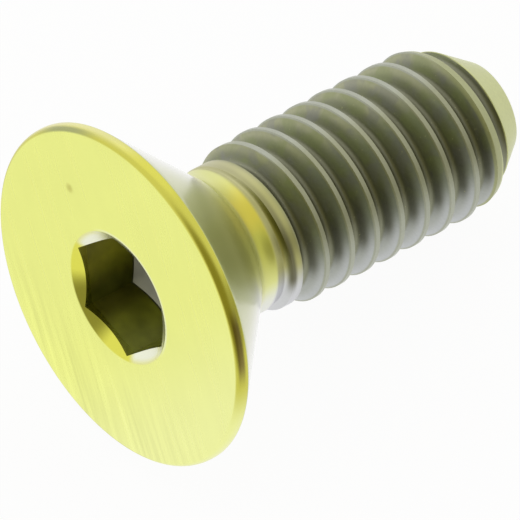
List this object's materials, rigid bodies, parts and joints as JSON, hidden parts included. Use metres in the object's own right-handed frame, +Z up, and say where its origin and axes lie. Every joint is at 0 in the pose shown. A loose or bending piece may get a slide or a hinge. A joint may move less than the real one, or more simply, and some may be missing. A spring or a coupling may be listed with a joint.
{
  "type": "countersunk screw",
  "caption": "Countersunk machine screw with a flat head, conical underside, hexagon socket and right-hand thread, for fastening flush into a tapped hole.",
  "frame": {"origin": "on the floor, under the middle of the lying screw's bounding box", "axes": "+X towards the tip, along the floor; +Z up; the screw's own axis lies in the XZ plane and slopes down to the tip"},
  "size_m": [0.011, 0.0078, 0.0077],
  "materials": {
    "gilt_steel": "pale greenish-gold coat over steel: straight-ground face, bright cone and thread"
  },
  "bodies": {
    "root": {"screw": "gilt_steel"}
  },
  "joints": []
}
